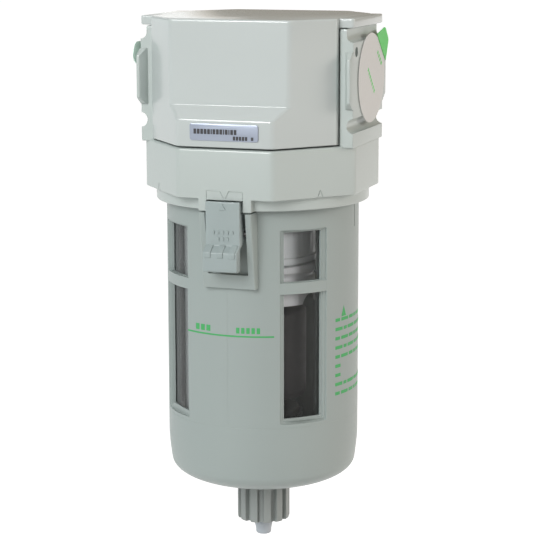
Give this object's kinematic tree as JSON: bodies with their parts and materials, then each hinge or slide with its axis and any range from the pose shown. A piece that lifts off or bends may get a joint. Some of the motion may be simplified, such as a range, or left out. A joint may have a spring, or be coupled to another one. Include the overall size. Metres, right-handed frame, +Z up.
{
  "type": "compressed air filter",
  "caption": "Modular compressed air filter with an octagonal head, press-and-turn bowl in a windowed guard, float drain and a fluted manual drain knob.",
  "frame": {"origin": "where the air line's axis crosses the bowl's vertical axis", "axes": "+X along the air line towards the outlet, -Y out of the front with the lock lever, +Z up"},
  "size_m": [0.0816, 0.0876, 0.1954],
  "materials": {
    "head_paint": "satin white paint over die-cast aluminium",
    "hood_plastic": "satin moulded plastic, fine texture",
    "guard_plastic": "satin moulded plastic",
    "lever_plastic": "satin moulded plastic",
    "plate_foil": "brushed foil",
    "sticker_paper": "matt coated paper",
    "white_nylon": "moulded",
    "element_fibre": "bonded fibre",
    "clear_bowl": "clear, glossy polycarbonate",
    "float_foam": "closed-cell foam",
    "seal_rubber": "moulded",
    "grey_nylon": "moulded",
    "knob_plastic": "satin moulded plastic",
    "nozzle_plastic": "moulded",
    "brass": "turned",
    "steel": "drawn",
    "copper_wire": "bronze-coloured spring wire"
  },
  "bodies": {
    "head": {"body_casting": "head_paint", "top_cover": "hood_plastic", "name_plate": "plate_foil", "outlet_port_sticker": "sticker_paper", "inlet_port_sticker": "sticker_paper", "louver": "white_nylon", "element_gasket": "seal_rubber", "filter_element": "element_fibre", "baffle": "white_nylon"},
    "bowl_seal": {"bowl_o_ring": "seal_rubber"},
    "bowl_group": {"bowl": "clear_bowl", "bowl_guard": "guard_plastic", "lever_pin": "steel", "lever_spring": "copper_wire", "drain_housing": "grey_nylon", "housing_o_ring": "seal_rubber", "drain_retaining_nut": "grey_nylon", "drain_strainer": "steel", "float_lever_pin": "steel", "pilot_valve_seat": "brass", "piston_spring": "steel", "knob_o_ring": "seal_rubber", "drain_nozzle": "nozzle_plastic"},
    "lever": {"lock_lever": "lever_plastic"},
    "knob": {"drain_knob": "knob_plastic"},
    "float_cup": {"float": "float_foam"},
    "float_arm": {"float_lever": "white_nylon"},
    "piston": {"drain_piston": "brass", "piston_seal": "seal_rubber"}
  },
  "joints": [
    {"name": "bowl_drop", "type": "slide", "parent": "head", "child": "bowl_seal", "axis": [0, 0, -1], "range_m": [0, 0.07]},
    {"name": "bowl_turn", "type": "hinge", "parent": "bowl_seal", "child": "bowl_group", "pos_m": [0, 0, 0], "axis": [0, 0, 1], "range_deg": [-45, 45]},
    {"name": "lever_press", "type": "hinge", "parent": "bowl_group", "child": "lever", "pos_m": [0, -0.0379, -0.053], "axis": [1, 0, 0], "range_deg": [0, 10], "stiffness_Nm_per_rad": 0.5, "springref_deg": -5.73, "deforming": ["lever_spring"]},
    {"name": "drain_knob_turn", "type": "hinge", "parent": "bowl_group", "child": "knob", "pos_m": [0, 0, -0.16], "axis": [0, 0, 1], "range_deg": [0, 90]},
    {"name": "float_rise", "type": "slide", "parent": "bowl_group", "child": "float_cup", "axis": [0, 0, 1], "range_m": [0, 0.0025]},
    {"name": "float_lever_tip", "type": "hinge", "parent": "bowl_group", "child": "float_arm", "pos_m": [-0.0046, 0, -0.0942], "axis": [0, -1, 0], "range_deg": [0, 9.9]},
    {"name": "piston_lift", "type": "slide", "parent": "bowl_group", "child": "piston", "axis": [0, 0, 1], "range_m": [0, 0.0015], "deforming": ["piston_spring"]}
  ],
  "couplings": [
    {"joint": "float_lever_tip", "follows": "float_rise", "rad_per_m": 66.2},
    {"joint": "drain_knob_turn", "follows": "piston_lift", "rad_per_m": 1047}
  ]
}
